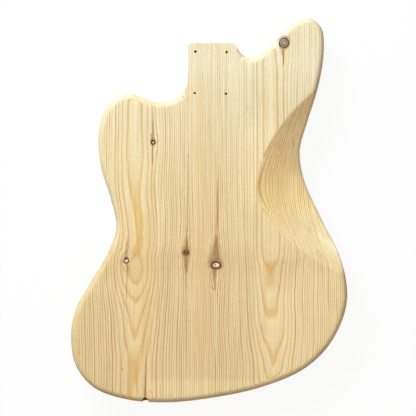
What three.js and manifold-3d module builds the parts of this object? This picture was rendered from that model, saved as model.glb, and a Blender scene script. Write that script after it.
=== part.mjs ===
// The body of an electric guitar with an offset waist, in bare pine: two boards glued edge to edge, shaped,
// routed from the front and drilled, with the bark-ringed knots of its back as plugs of their own.
// It lies on its flat front face with its back up. Millimetres. +Y points to the neck and +X to the bass
// side, and the origin is where the centre line crosses the bridge line on the front face.
import * as THREE from "three";
import { mergeVertices } from "three/addons/utils/BufferGeometryUtils.js";
import Module from "manifold-3d";

// Blank
const bodyLength = 469;
const bodyWidth = 338;
const bodyThickness = 44.5;
const edgeRadius = 7.5; // the roundover, front and back
const glueLineX = -8; // where the two boards meet

// Neck heel, the square tongue under the end of the neck
const heelEndShare = 0.5522; // from the bridge line, of the body's length
const heelWidth = 56;
const heelStraight = 37; // straight run of its treble side
const heelEdgeRadius = 0.8; // its edges are only eased
const trebleCornerRadius = 3;
const bassCornerRadius = 5;
const trebleEasedRun = 16; // how far the eased edge runs on past the straight side
const bassEasedRun = 9; // and on past the bass corner
const edgeFadeRun = 15; // over which it grows to the full roundover

// The outline from the heel's treble side anticlockwise to its bass corner, as shares of the body's width
// from the centre line and of its length from the bridge line
const outlineShares = [
  [-0.086, 0.448], [-0.107, 0.419], [-0.145, 0.402], [-0.195, 0.399], [-0.25, 0.411], // treble cutaway
  [-0.299, 0.42], [-0.351, 0.404], [-0.391, 0.368], [-0.408, 0.309], // treble horn
  [-0.399, 0.232], [-0.364, 0.149], [-0.343, 0.077], [-0.367, 0.017], [-0.436, -0.07], // treble waist
  [-0.489, -0.139], [-0.507, -0.207], [-0.49, -0.286], [-0.425, -0.344], // treble side of the tail
  [-0.308, -0.375], [-0.163, -0.383], [-0.015, -0.373], [0.178, -0.344], [0.339, -0.294], // tail
  [0.437, -0.222], [0.491, -0.117], [0.466, -0.002], [0.403, 0.092], // bass side of the tail
  [0.338, 0.194], [0.32, 0.273], [0.35, 0.356], [0.389, 0.448], // bass waist
  [0.407, 0.537], [0.398, 0.593], [0.352, 0.618], [0.291, 0.601], // bass horn
  [0.228, 0.555], [0.176, 0.522], [0.136, 0.515], [0.104, 0.528], // bass cutaway
];
const bassCornerShares = [[0.6, -1], [0.05, -0.25], [-0.8, 0]]; // of its radius, from the square corner

// Belly scoop on the back: a slope that falls away to the bass side from a bowed crest line
const scoopCrestXShare = 0.169; // the crest's innermost point, of the body's width
const scoopCrestYShare = 0.174; // and of its length
const scoopDepth = 15.5; // how far the slope falls
const scoopWidth = 52; // over this width
const scoopSpread = 63; // the crest bows outwards this far
const scoopNeckReach = 115; // over this length towards the neck
const scoopTailReach = 82; // and over this length towards the tail

// Forearm slope on the front of the bass side, made the same way
const forearmCrestXShare = 0.31;
const forearmCrestYShare = -0.096;
const forearmDepth = 11;
const forearmWidth = 61;
const forearmSpread = 20;
const forearmNeckReach = 84;
const forearmTailReach = 82;

// Neck pocket and its four screw holes
const pocketWidth = 56;
const pocketLength = 76;
const pocketDepth = 16;
const pocketCornerRadius = 6;
const trebleWallLength = 16; // what is left of the pocket's treble wall, from its end
const bassWallLength = 67; // and of its bass wall
const reliefReach = 12; // beyond the pocket's side, where those walls are cut away
const reliefCornerRadius = 0.5;
const plateSpacingX = 38.1; // hole pattern of the neck plate
const plateSpacingY = 50.8;
const plateFromHeelEnd = 36.4; // its middle
const plateOffset = -0.7; // and how far it sits off the centre line
const plateTurn = THREE.MathUtils.degToRad(-1);
const neckScrewHoleDiameter = 3.2;

// Routs from the front
const routCornerRadius = 6;
const pickupRoutWidth = 94;
const pickupRoutLength = 58;
const pickupRoutDepth = 19;
const neckPickupFromPocket = 8; // wood left between the two
const bridgePickupFromBridge = 18;
const bridgePostSpacing = 74;
const bridgePostHoleDiameter = 12;
const bridgePostHoleDepth = 20;
const tremoloRoutWidth = 50;
const tremoloRoutLength = 90;
const tremoloRoutDepth = 30;
const tremoloFromBridge = 56;
const cavityFloor = 8; // wood left under the two control cavities
const controlCavityWidth = 44;
const controlCavityEndsShares = [[-0.311, -0.107], [-0.355, -0.213]];
const switchCavityWidth = 36;
const switchCavityEndsShares = [[-0.308, 0.333], [-0.296, 0.29]];
const rhythmSlotWidth = 22;
const rhythmSlotDepth = 30;
const rhythmSlotEndsShares = [[0.248, 0.33], [0.29, 0.475]];
const channelWidth = 10;
const channelDepth = 15;
const pickupChannelX = -30;

// Knots of the back: place, half widths of the bark ring and of the core inside it, depth
const knots = [
  { name: "bass_horn", placeShares: [0.2624, 0.5522], ringX: 6.8, ringY: 6.9, coreX: 5.6, coreY: 5.7, depth: 24 },
  { name: "treble_horn", placeShares: [-0.2095, 0.2942], ringX: 3.6, ringY: 3.6, coreX: 1.9, coreY: 1.5, depth: 16 },
  { name: "treble_waist", placeShares: [-0.3062, -0.0132], ringX: 4, ringY: 4, coreX: 2.5, coreY: 2.2, depth: 18 },
  { name: "bridge_treble", placeShares: [-0.0899, 0.0081], ringX: 4.1, ringY: 3.9, coreX: 2.1, coreY: 2, depth: 15 },
  { name: "bridge_bass", placeShares: [0.0175, -0.0252], ringX: 7.2, ringY: 5.1, coreX: 4.8, coreY: 3.1, depth: 26 },
];
const knotTaperShare = 0.55; // a knot's width at its inner end, of its width at the back

// Bark pocket in the tail edge
const barkPlaceShares = [-0.238, -0.3805];
const barkHalfWidth = 4.4;
const barkHalfLength = 6;
const barkDepth = 26;
const barkRecess = 1.9; // the bark has weathered back this far from the edge

// Clearance round what sits in the boards, and the overrun of every cut past the wood
const seatGap = 0.3;
const overrun = 4;
const weldDistance = 0.0005;

// Fineness of the curves
const stepsPerOutlinePoint = 6;
const stepsPerCorner = 4;
const stepsPerRoundover = 4;
const contourSteps = 40;
const roundSteps = 24;
const holeSteps = 16;

const heelEnd = heelEndShare * bodyLength;
const heelHalf = heelWidth / 2;
const pocketEnd = heelEnd - pocketLength;

const wasm = await Module();
wasm.setup();

const place = ([xShare, yShare]) => new THREE.Vector2(xShare * bodyWidth, yShare * bodyLength);

// A closed mesh becomes a solid that can be cut, and a solid becomes geometry again.
function toSolid(geometry) {
  for (const name of Object.keys(geometry.attributes)) {
    if (name !== "position") geometry.deleteAttribute(name);
  }
  const welded = mergeVertices(geometry, weldDistance);
  const mesh = new wasm.Mesh({
    numProp: 3,
    vertProperties: welded.attributes.position.array,
    triVerts: welded.index.array,
  });
  return new wasm.Manifold(mesh);
}

function toGeometry(solid) {
  const mesh = solid.getMesh();
  const geometry = new THREE.BufferGeometry();
  geometry.setAttribute("position", new THREE.BufferAttribute(mesh.vertProperties, mesh.numProp));
  geometry.setIndex(new THREE.BufferAttribute(mesh.triVerts, 1));
  geometry.computeVertexNormals();
  return geometry;
}

const joinAll = (solids) => solids.reduce((joined, solid) => joined.add(solid));

// The outline

const trebleCorner = () =>
  Array.from({ length: stepsPerCorner + 1 }, (_, i) => {
    const turn = (Math.PI / 2) * (1 + i / stepsPerCorner);
    const middle = new THREE.Vector2(trebleCornerRadius - heelHalf, heelEnd - trebleCornerRadius);
    return middle.add(new THREE.Vector2(Math.cos(turn), Math.sin(turn)).multiplyScalar(trebleCornerRadius));
  });

function outlineCurve() {
  const start = new THREE.Vector2(-heelHalf, heelEnd - heelStraight);
  const corner = bassCornerShares.map(
    ([x, y]) => new THREE.Vector2(heelHalf + x * bassCornerRadius, heelEnd + y * bassCornerRadius),
  );
  const points = [start, ...outlineShares.map(place), ...corner].map((p) => new THREE.Vector3(p.x, p.y, 0));
  const curve = new THREE.CatmullRomCurve3(points, false, "centripetal");
  return curve.getPoints(stepsPerOutlinePoint * (points.length - 1)).map((p) => new THREE.Vector2(p.x, p.y));
}

// The edge is eased at the heel and grows to the full roundover with the distance from it.
function roundoverRadius(fromTrebleSide, fromBassCorner) {
  const pastHeel = Math.min(fromTrebleSide - trebleEasedRun, fromBassCorner - bassEasedRun);
  return THREE.MathUtils.lerp(heelEdgeRadius, edgeRadius, THREE.MathUtils.smoothstep(pastHeel, 0, edgeFadeRun));
}

// Every sample of the outline, anticlockwise: its point, its outward direction and its roundover
function outlineSamples() {
  const curve = outlineCurve();
  const run = [0];
  for (let i = 1; i < curve.length; i++) run.push(run[i - 1] + curve[i].distanceTo(curve[i - 1]));
  const length = run[run.length - 1];
  const corner = trebleCorner().map((point) => ({ point, radius: heelEdgeRadius }));
  const rest = curve.map((point, i) => ({ point, radius: roundoverRadius(run[i], length - run[i]) }));
  const samples = [...corner, ...rest];
  return samples.map(({ point, radius }, i) => {
    const before = samples[(i + samples.length - 1) % samples.length].point;
    const after = samples[(i + 1) % samples.length].point;
    const along = after.clone().sub(before).normalize();
    return { point, radius, outward: new THREE.Vector2(along.y, -along.x) };
  });
}

// The belly scoop and the forearm slope

const bellyScoop = {
  crestX: scoopCrestXShare * bodyWidth,
  crestY: scoopCrestYShare * bodyLength,
  slope: scoopDepth / scoopWidth,
  spread: scoopSpread,
  neckReach: scoopNeckReach,
  tailReach: scoopTailReach,
};
const forearmSlope = {
  crestX: forearmCrestXShare * bodyWidth,
  crestY: forearmCrestYShare * bodyLength,
  slope: forearmDepth / forearmWidth,
  spread: forearmSpread,
  neckReach: forearmNeckReach,
  tailReach: forearmTailReach,
};

// The crest line is a parabola on either side of its innermost point.
function crestAt(contour, y) {
  const run = y - contour.crestY;
  const reach = run > 0 ? contour.neckReach : contour.tailReach;
  return contour.crestX + contour.spread * (run / reach) ** 2;
}

const contourFall = (contour, x, y) => Math.max(0, contour.slope * (x - crestAt(contour, y)));

// What a contour takes away, measured upwards from the back's flat face: a bar whose underside slopes down
// from the crest. It runs until the crest has left the body.
function contourCutter(contour) {
  const outside = bodyWidth / 2 + overrun;
  const share = Math.sqrt((outside - contour.crestX) / contour.spread);
  const from = contour.crestY - share * contour.tailReach;
  const to = contour.crestY + share * contour.neckReach;
  const corners = [];
  for (let i = 0; i <= contourSteps; i++) {
    const y = from + ((to - from) * i) / contourSteps;
    const crest = crestAt(contour, y);
    const under = (x) => [x, y, -contour.slope * (x - crest)];
    const over = (x) => [x, y, 2 * overrun];
    corners.push(under(crest - overrun), under(outside + overrun), over(outside + overrun), over(crest - overrun));
  }
  const index = [0, 1, 2, 0, 2, 3];
  for (let i = 0; i < contourSteps; i++) {
    for (let side = 0; side < 4; side++) {
      const a = 4 * i + side;
      const b = 4 * i + ((side + 1) % 4);
      index.push(a, a + 4, b + 4, a, b + 4, b);
    }
  }
  const last = 4 * contourSteps;
  index.push(last, last + 2, last + 1, last, last + 3, last + 2);
  const geometry = new THREE.BufferGeometry();
  geometry.setAttribute("position", new THREE.Float32BufferAttribute(corners.flat(), 3));
  geometry.setIndex(index);
  return geometry;
}

// The blank: rings of the outline, stepped in along the roundovers, which follow both contours. Its middle
// is still flat, and the contour cutters take it down to the rims.
function blankGeometry() {
  const samples = outlineSamples();
  const ring = (insetShare, height) =>
    samples.map(({ point, radius, outward }) => {
      const p = point.clone().addScaledVector(outward, -radius * insetShare);
      return [p.x, p.y, height(p.x, p.y, radius)];
    });
  const turns = Array.from({ length: stepsPerRoundover + 1 }, (_, i) => (Math.PI / 2) * (i / stepsPerRoundover));
  const frontRing = (turn) =>
    ring(1 - Math.cos(turn), (x, y, r) => contourFall(forearmSlope, x, y) + r * (1 - Math.sin(turn)));
  const backRing = (turn) =>
    ring(1 - Math.cos(turn), (x, y, r) => bodyThickness - contourFall(bellyScoop, x, y) - r * (1 - Math.sin(turn)));
  const rings = [
    ring(1, () => 0),
    ...turns.map(frontRing).reverse(),
    ...turns.map(backRing),
    ring(1, () => bodyThickness),
  ];
  const count = samples.length;
  const index = [];
  for (let k = 0; k < rings.length - 1; k++) {
    for (let i = 0; i < count; i++) {
      const a = k * count + i;
      const b = k * count + ((i + 1) % count);
      index.push(a, b, b + count, a, b + count, a + count);
    }
  }
  const lid = THREE.ShapeUtils.triangulateShape(rings[0].map(([x, y]) => new THREE.Vector2(x, y)), []);
  const top = (rings.length - 1) * count;
  for (const [a, b, c] of lid) index.push(a, c, b, top + a, top + b, top + c);
  const geometry = new THREE.BufferGeometry();
  geometry.setAttribute("position", new THREE.Float32BufferAttribute(rings.flat(2), 3));
  geometry.setIndex(index);
  return withoutCollapsedFaces(mergeVertices(geometry, weldDistance));
}

// Where a contour doesn't reach the rim, the rim's riser has no height and its faces go.
function withoutCollapsedFaces(geometry) {
  const faces = [];
  const { array } = geometry.index;
  for (let i = 0; i < array.length; i += 3) {
    const [a, b, c] = array.slice(i, i + 3);
    if (a !== b && b !== c && c !== a) faces.push(a, b, c);
  }
  geometry.setIndex(faces);
  return geometry;
}

function blank() {
  const belly = contourCutter(bellyScoop).translate(0, 0, bodyThickness);
  const forearm = mirrored(contourCutter(forearmSlope));
  return toSolid(blankGeometry()).subtract(toSolid(belly)).subtract(toSolid(forearm));
}

// Upside down, with its faces turned to point out again
function mirrored(geometry) {
  const turned = geometry.scale(1, 1, -1);
  const { array } = turned.index;
  for (let i = 0; i < array.length; i += 3) [array[i], array[i + 1]] = [array[i + 1], array[i]];
  return turned;
}

// Cuts from the front

function rectangle(x0, x1, y0, y1, radius) {
  const shape = new THREE.Shape();
  shape.absarc(x1 - radius, y1 - radius, radius, 0, Math.PI / 2, false);
  shape.absarc(x0 + radius, y1 - radius, radius, Math.PI / 2, Math.PI, false);
  shape.absarc(x0 + radius, y0 + radius, radius, Math.PI, (3 * Math.PI) / 2, false);
  shape.absarc(x1 - radius, y0 + radius, radius, (3 * Math.PI) / 2, 2 * Math.PI, false);
  return shape;
}

// A slot with round ends about two points
function slot([from, to], width) {
  const turn = Math.atan2(to.y - from.y, to.x - from.x);
  const shape = new THREE.Shape();
  shape.absarc(to.x, to.y, width / 2, turn - Math.PI / 2, turn + Math.PI / 2, false);
  shape.absarc(from.x, from.y, width / 2, turn + Math.PI / 2, turn + (3 * Math.PI) / 2, false);
  return shape;
}

const rout = (shape, depth) =>
  toSolid(
    new THREE.ExtrudeGeometry(shape, { depth: depth + overrun, bevelEnabled: false, curveSegments: stepsPerCorner })
      .translate(0, 0, -overrun),
  );

function neckPocket() {
  const outside = heelEnd + pocketCornerRadius + overrun;
  const reliefX = pocketWidth / 2 + reliefReach;
  const pocket = rectangle(-pocketWidth / 2, pocketWidth / 2, pocketEnd, outside, pocketCornerRadius);
  const trebleRelief = rectangle(-reliefX, 0, pocketEnd + trebleWallLength, outside, reliefCornerRadius);
  const bassRelief = rectangle(0, reliefX, pocketEnd + bassWallLength, outside, reliefCornerRadius);
  return [pocket, trebleRelief, bassRelief].map((shape) => rout(shape, pocketDepth));
}

function neckScrewHoles() {
  const middle = new THREE.Vector2(plateOffset, heelEnd - plateFromHeelEnd);
  return [-1, 1].flatMap((sideX) =>
    [-1, 1].map((sideY) => {
      const corner = new THREE.Vector2((sideX * plateSpacingX) / 2, (sideY * plateSpacingY) / 2);
      const p = corner.rotateAround(new THREE.Vector2(), plateTurn).add(middle);
      const length = bodyThickness + 2 * overrun;
      const hole = new THREE.CylinderGeometry(neckScrewHoleDiameter / 2, neckScrewHoleDiameter / 2, length, holeSteps);
      return toSolid(hole.rotateX(Math.PI / 2).translate(p.x, p.y, bodyThickness / 2));
    }),
  );
}

const neckPickup = { high: pocketEnd - neckPickupFromPocket, low: pocketEnd - neckPickupFromPocket - pickupRoutLength };
const bridgePickup = { high: bridgePickupFromBridge + pickupRoutLength, low: bridgePickupFromBridge };

const pickupRouts = () =>
  [neckPickup, bridgePickup].map(({ high, low }) =>
    rout(rectangle(-pickupRoutWidth / 2, pickupRoutWidth / 2, low, high, routCornerRadius), pickupRoutDepth),
  );

const bridgePostHoles = () =>
  [-1, 1].map((side) => {
    const radius = bridgePostHoleDiameter / 2;
    const hole = new THREE.CylinderGeometry(radius, radius, bridgePostHoleDepth + overrun, roundSteps);
    hole.rotateX(Math.PI / 2).translate((side * bridgePostSpacing) / 2, 0, (bridgePostHoleDepth - overrun) / 2);
    return toSolid(hole);
  });

function tremoloRout() {
  const half = tremoloRoutWidth / 2;
  const low = -tremoloFromBridge - tremoloRoutLength;
  return rout(rectangle(-half, half, low, -tremoloFromBridge, routCornerRadius), tremoloRoutDepth);
}

const controlCavityEnds = controlCavityEndsShares.map(place);
const switchCavityEnds = switchCavityEndsShares.map(place);
const rhythmSlotEnds = rhythmSlotEndsShares.map(place);

const controlCavities = () => [
  rout(slot(controlCavityEnds, controlCavityWidth), bodyThickness - cavityFloor),
  rout(slot(switchCavityEnds, switchCavityWidth), bodyThickness - cavityFloor),
  rout(slot(rhythmSlotEnds, rhythmSlotWidth), rhythmSlotDepth),
];

// Shallow grooves that carry the wires from rout to rout
function wireChannels() {
  const inset = pickupRoutWidth / 2 - channelWidth;
  const neckMiddle = (neckPickup.high + neckPickup.low) / 2;
  const bridgeMiddle = (bridgePickup.high + bridgePickup.low) / 2;
  const switchEnd = switchCavityEnds[1];
  const rhythmEnd = rhythmSlotEnds[0];
  const routes = [
    [new THREE.Vector2(pickupChannelX, neckMiddle), new THREE.Vector2(pickupChannelX, bridgeMiddle)],
    [new THREE.Vector2(-inset, bridgeMiddle), controlCavityEnds[0]],
    [new THREE.Vector2(-inset, switchEnd.y), switchEnd],
    [new THREE.Vector2(inset, rhythmEnd.y), rhythmEnd],
  ];
  return routes.map((ends) => rout(slot(ends, channelWidth), channelDepth));
}

// Knots and bark

// A plug that narrows as it goes in from the back
function plug([x, y], halfX, halfY, depth) {
  const cone = new THREE.CylinderGeometry(1, knotTaperShare, 1, roundSteps).rotateX(Math.PI / 2);
  cone.scale(halfX, halfY, depth + overrun).translate(x, y, bodyThickness + (overrun - depth) / 2);
  return toSolid(cone);
}

const knotHole = (knot) =>
  plug(place(knot.placeShares), knot.ringX + seatGap, knot.ringY + seatGap, knot.depth + seatGap);

const knotCore = (knot, wood) => wood.intersect(plug(place(knot.placeShares), knot.coreX, knot.coreY, knot.depth));

function knotRing(knot, wood) {
  const middle = place(knot.placeShares);
  const round = plug(middle, knot.ringX, knot.ringY, knot.depth);
  const bore = plug(middle, knot.coreX + seatGap, knot.coreY + seatGap, knot.depth + overrun);
  return wood.intersect(round).subtract(bore);
}

const barkNotch = () => plug(place(barkPlaceShares), barkHalfWidth, barkHalfLength, barkDepth);

function barkPocket(wood) {
  const { x, y } = place(barkPlaceShares);
  const bark = plug([x, y], barkHalfWidth - seatGap, barkHalfLength - seatGap, barkDepth - seatGap);
  const weathered = new THREE.BoxGeometry(2 * barkHalfWidth, 2 * barkHalfLength, 2 * bodyThickness);
  return wood.intersect(bark).subtract(toSolid(weathered.translate(x, y - barkHalfLength + barkRecess, 0)));
}

// The two boards are the two sides of the glue line.
function boardSide(side) {
  const width = bodyWidth + overrun;
  const box = new THREE.BoxGeometry(width, 2 * bodyLength, 2 * bodyThickness);
  return toSolid(box.translate(glueLineX + (side * width) / 2, 0, bodyThickness / 2));
}

// The assembly

const softwood = { color: 0xe3cc97, roughness: 0.68 };
const branchWood = { color: 0xb59a74, roughness: 0.6 };
const bark = { color: 0x3f2c1d, roughness: 0.9 };

const body = new THREE.Group();

function addPiece(name, solid, finish) {
  const mesh = new THREE.Mesh(toGeometry(solid), new THREE.MeshStandardMaterial({ ...finish, metalness: 0 }));
  mesh.name = name;
  body.add(mesh);
}

const wood = blank();
const cuts = joinAll([
  ...neckPocket(),
  ...neckScrewHoles(),
  ...pickupRouts(),
  ...bridgePostHoles(),
  tremoloRout(),
  ...controlCavities(),
  ...wireChannels(),
  ...knots.map(knotHole),
  barkNotch(),
]);
const shaped = wood.subtract(cuts);

addPiece("board_treble", shaped.intersect(boardSide(-1)), softwood);
addPiece("board_bass", shaped.intersect(boardSide(1)), softwood);
for (const knot of knots) {
  addPiece(`knot_core_${knot.name}`, knotCore(knot, wood), branchWood);
  addPiece(`knot_bark_${knot.name}`, knotRing(knot, wood), bark);
}
addPiece("bark_pocket_tail", barkPocket(wood), bark);

export default body;
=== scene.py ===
import bmesh
import bpy
import numpy as np
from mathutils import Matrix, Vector
from mathutils.geometry import delaunay_2d_cdt


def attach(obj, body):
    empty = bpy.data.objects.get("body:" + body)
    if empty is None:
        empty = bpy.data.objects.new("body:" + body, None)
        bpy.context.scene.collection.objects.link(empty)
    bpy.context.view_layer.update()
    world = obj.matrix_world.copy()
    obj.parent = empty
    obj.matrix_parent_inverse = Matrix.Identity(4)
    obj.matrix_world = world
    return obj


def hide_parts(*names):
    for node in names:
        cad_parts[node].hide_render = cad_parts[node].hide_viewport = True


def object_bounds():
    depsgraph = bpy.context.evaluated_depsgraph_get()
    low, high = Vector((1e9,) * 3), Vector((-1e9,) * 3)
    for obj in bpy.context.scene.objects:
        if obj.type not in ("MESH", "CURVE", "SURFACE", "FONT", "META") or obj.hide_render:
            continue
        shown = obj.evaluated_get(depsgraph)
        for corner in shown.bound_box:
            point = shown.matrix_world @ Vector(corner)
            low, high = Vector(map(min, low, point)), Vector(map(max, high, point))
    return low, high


metre = 0.001
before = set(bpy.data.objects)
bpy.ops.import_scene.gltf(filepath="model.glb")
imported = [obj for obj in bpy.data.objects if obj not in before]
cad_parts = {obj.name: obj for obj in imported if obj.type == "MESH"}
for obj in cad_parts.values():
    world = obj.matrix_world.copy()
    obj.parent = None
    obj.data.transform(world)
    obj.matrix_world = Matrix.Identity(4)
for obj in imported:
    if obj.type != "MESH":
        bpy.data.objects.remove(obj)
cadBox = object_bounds()
cadLow, cadHigh = np.array(cadBox[0]) / metre, np.array(cadBox[1]) / metre
print("frame loaded:", len(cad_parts), "nodes")


# Quads between the points of a stack of rings. The last ring joins the first where the rows are closed.
def gridFaces(rows, columns, closedRows=False):
    row = np.arange(rows if closedRows else rows - 1)[:, None]
    column = np.arange(columns)[None, :]
    nextRow, nextColumn = (row + 1) % rows, (column + 1) % columns
    corners = [row * columns + column, row * columns + nextColumn]
    corners += [nextRow * columns + nextColumn, nextRow * columns + column]
    return np.stack(np.broadcast_arrays(*corners), axis=-1).reshape(-1, 4)


# Puts points and faces into a mesh, welds what meets and turns every face outwards
def makePiece(name, points, faces, weld=0.001):
    mesh = bpy.data.meshes.new(name)
    mesh.from_pydata((np.asarray(points) * metre).tolist(), [], [list(face) for face in faces])
    shell = bmesh.new()
    shell.from_mesh(mesh)
    bmesh.ops.remove_doubles(shell, verts=shell.verts, dist=weld * metre)
    bmesh.ops.recalc_face_normals(shell, faces=shell.faces)
    shell.to_mesh(mesh)
    shell.free()
    piece = bpy.data.objects.new(name, mesh)
    bpy.context.scene.collection.objects.link(piece)
    return piece


def shadeSmooth(piece, angle):
    piece.data.shade_smooth()
    piece.data.set_sharp_from_angle(angle=np.radians(angle))


# A solid from a stack of rings, with a flat cap on either end
def makePlug(name, rings, weld=0.001):
    count = len(rings[0])
    caps = [list(range(count)), list(range((len(rings) - 1) * count, len(rings) * count))]
    return makePiece(name, np.vstack(rings), gridFaces(len(rings), count).tolist() + caps, weld)


# A smooth piece from rings that end in poles, or whose last ring joins the first
def makeShell(name, rings, closedRows=False):
    piece = makePiece(name, np.vstack(rings), gridFaces(len(rings), len(rings[0]), closedRows).tolist())
    shadeSmooth(piece, plug["smoothAngle"])
    return piece


# A ring of points at one height, or at a height for each
def ringPoints(x, y, z):
    return np.column_stack([x, y, np.broadcast_to(z, np.shape(x))])


def fullTurn(steps):
    return np.linspace(0, 2 * np.pi, steps, endpoint=False)


def directions(turn):
    return np.stack([np.cos(turn), np.sin(turn)], axis=1)


def smoothstep(value, low, high):
    share = np.clip((value - low) / (high - low), 0, 1)
    return share * share * (3 - 2 * share)


# Centripetal Catmull-Rom: each span is the cubic through its two points, whose end slopes come from the
# points on either side, with the square roots of the distances as its knots
def smoothLine(points, steps):
    ends = np.vstack([2 * points[0] - points[1], points, 2 * points[-1] - points[-2]])
    p0, p1, p2, p3 = ends[:-3], ends[1:-2], ends[2:-1], ends[3:]
    d0, d1, d2 = (np.sqrt(np.linalg.norm(b - a, axis=1))[:, None] for a, b in ((p0, p1), (p1, p2), (p2, p3)))
    slope1 = ((p1 - p0) / d0 - (p2 - p0) / (d0 + d1) + (p2 - p1) / d1) * d1
    slope2 = ((p2 - p1) / d1 - (p3 - p1) / (d1 + d2) + (p3 - p2) / d2) * d1
    cubic = [p1, slope1, 3 * (p2 - p1) - 2 * slope1 - slope2, 2 * (p1 - p2) + slope1 + slope2]
    t = np.linspace(0, 1, steps, endpoint=False)[None, :, None]
    line = sum(part[:, None] * t**power for power, part in enumerate(cubic))
    return np.vstack([line.reshape(-1, 2), points[-1:]])


body = {
    "length": 469,
    "width": 338,
    "thickness": 44.5,
    "glueLineX": -8,
    "edgeRadius": 7.5,
    "stepsPerPoint": 12,
    "roundoverSteps": 10,
    "wallSteps": 4,
    "cornerSteps": 8,
    "smoothAngle": 32,
    # from the heel's treble side anticlockwise to its bass corner, as shares of width and length
    "outlineShares": [
        (-0.086, 0.448), (-0.107, 0.419), (-0.145, 0.402), (-0.195, 0.399), (-0.25, 0.411),
        (-0.299, 0.42), (-0.351, 0.404), (-0.391, 0.368), (-0.408, 0.309), (-0.399, 0.232),
        (-0.364, 0.149), (-0.343, 0.077), (-0.367, 0.017), (-0.436, -0.07), (-0.489, -0.139),
        (-0.507, -0.207), (-0.49, -0.286), (-0.425, -0.344), (-0.308, -0.375), (-0.163, -0.383),
        (-0.015, -0.373), (0.178, -0.344), (0.339, -0.294), (0.437, -0.222), (0.491, -0.117),
        (0.466, -0.002), (0.403, 0.092), (0.338, 0.194), (0.32, 0.273), (0.35, 0.356),
        (0.389, 0.448), (0.407, 0.537), (0.398, 0.593), (0.352, 0.618), (0.291, 0.601),
        (0.228, 0.555), (0.176, 0.522), (0.136, 0.515), (0.104, 0.528),
    ],
}
heel = {
    "endShare": 0.5522,
    "width": 56,
    "straight": 37,
    "edgeRadius": 0.8,
    "trebleCornerRadius": 3,
    "bassCornerRadius": 5,
    "bassCornerShares": [(0.6, -1), (0.05, -0.25), (-0.8, 0)],
    "trebleEasedRun": 16,
    "bassEasedRun": 9,
    "edgeFadeRun": 15,
}
heelEnd = heel["endShare"] * body["length"]
bodySpan = np.array([body["width"], body["length"]])


# Where something lies, from its shares of the body's width and length
def placeOf(settings):
    return np.array(settings["placeShares"]) * bodySpan


# The closed outline: a quarter arc at the heel's treble corner, then one smooth line round the body. The
# roundover is eased at the heel and grows to its full radius with the distance from it.
def outlineSamples():
    turn = np.linspace(np.pi / 2, np.pi, body["cornerSteps"] + 1)
    radius = heel["trebleCornerRadius"]
    half = heel["width"] / 2
    corner = directions(turn) * radius + [radius - half, heelEnd - radius]
    first = [[-half, heelEnd - heel["straight"]]]
    last = np.array(heel["bassCornerShares"]) * heel["bassCornerRadius"] + [half, heelEnd]
    middle = np.array(body["outlineShares"]) * bodySpan
    line = smoothLine(np.vstack([first, middle, last]), body["stepsPerPoint"])
    run = np.concatenate([[0], np.cumsum(np.linalg.norm(np.diff(line, axis=0), axis=1))])
    pastHeel = np.minimum(run - heel["trebleEasedRun"], run[-1] - run - heel["bassEasedRun"])
    grown = smoothstep(pastHeel, 0, heel["edgeFadeRun"])
    edge = heel["edgeRadius"] + (body["edgeRadius"] - heel["edgeRadius"]) * grown
    points = np.clip(np.vstack([corner, line]), cadLow[:2], cadHigh[:2])
    along = np.roll(points, -1, axis=0) - np.roll(points, 1, axis=0)
    along /= np.linalg.norm(along, axis=1)[:, None]
    outward = np.stack([along[:, 1], -along[:, 0]], axis=1)
    return points, outward, np.concatenate([np.full(len(corner), heel["edgeRadius"]), edge])


outlinePoints, outlineOutward, outlineRadius = outlineSamples()

bellyScoop = {
    "crestX": 0.1665 * body["width"],
    "crestY": 0.174 * body["length"],
    "slope": 15.5 / 52,
    "spread": 64,
    "neckReach": 115,
    "tailReach": 82,
    "softness": 1.5,
    "edgeRadius": 2,
}
forearmSlope = {
    "crestX": 0.31 * body["width"],
    "crestY": -0.096 * body["length"],
    "slope": 11 / 61,
    "spread": 20,
    "neckReach": 84,
    "tailReach": 82,
    "softness": 7,
}


# A contour's crest is a parabola on either side of its innermost point
def crestAt(contour, y):
    run = y - contour["crestY"]
    reach = np.where(run > 0, contour["neckReach"], contour["tailReach"])
    return contour["crestX"] + contour["spread"] * (run / reach) ** 2


# How far a contour falls: a steady slope past its crest, which a short parabola eases
def contourFall(contour, x, y):
    past = x - crestAt(contour, y)
    soft = contour["softness"]
    return contour["slope"] * np.where(past < soft, np.clip(past + soft, 0, None) ** 2 / (4 * soft), past)


# How far a rounded edge has dropped at an inset from the outline: a quarter arc of its radius
def edgeDrop(radius, inset):
    return radius - np.sqrt(np.clip(radius**2 - np.clip(radius - inset, 0, None) ** 2, 0, None))


# Heights of the two faces. The belly scoop cuts the back's roundover away, and only its own narrow edge is
# left there, while the front's roundover follows the forearm slope.
def frontHeight(x, y, radius=0, inset=0):
    return contourFall(forearmSlope, x, y) + edgeDrop(radius, inset)


def backHeight(x, y, radius=0, inset=0):
    narrow = np.minimum(bellyScoop["edgeRadius"], radius)
    scooped = contourFall(bellyScoop, x, y) + edgeDrop(narrow, inset)
    return body["thickness"] - np.maximum(scooped, edgeDrop(radius, inset))


# Height of the back at any place, from its distance to the nearest side of the outline
def backAt(x, y):
    place = np.stack([x, y], axis=1)
    start, step = outlinePoints, np.roll(outlinePoints, -1, axis=0) - outlinePoints
    share = np.einsum("psk,sk->ps", place[:, None] - start[None], step) / (step**2).sum(axis=1)
    nearest = start[None] + np.clip(share, 0, 1)[..., None] * step[None]
    distance = np.linalg.norm(place[:, None] - nearest, axis=2)
    return backHeight(x, y, outlineRadius[distance.argmin(axis=1)], distance.min(axis=1))


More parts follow.
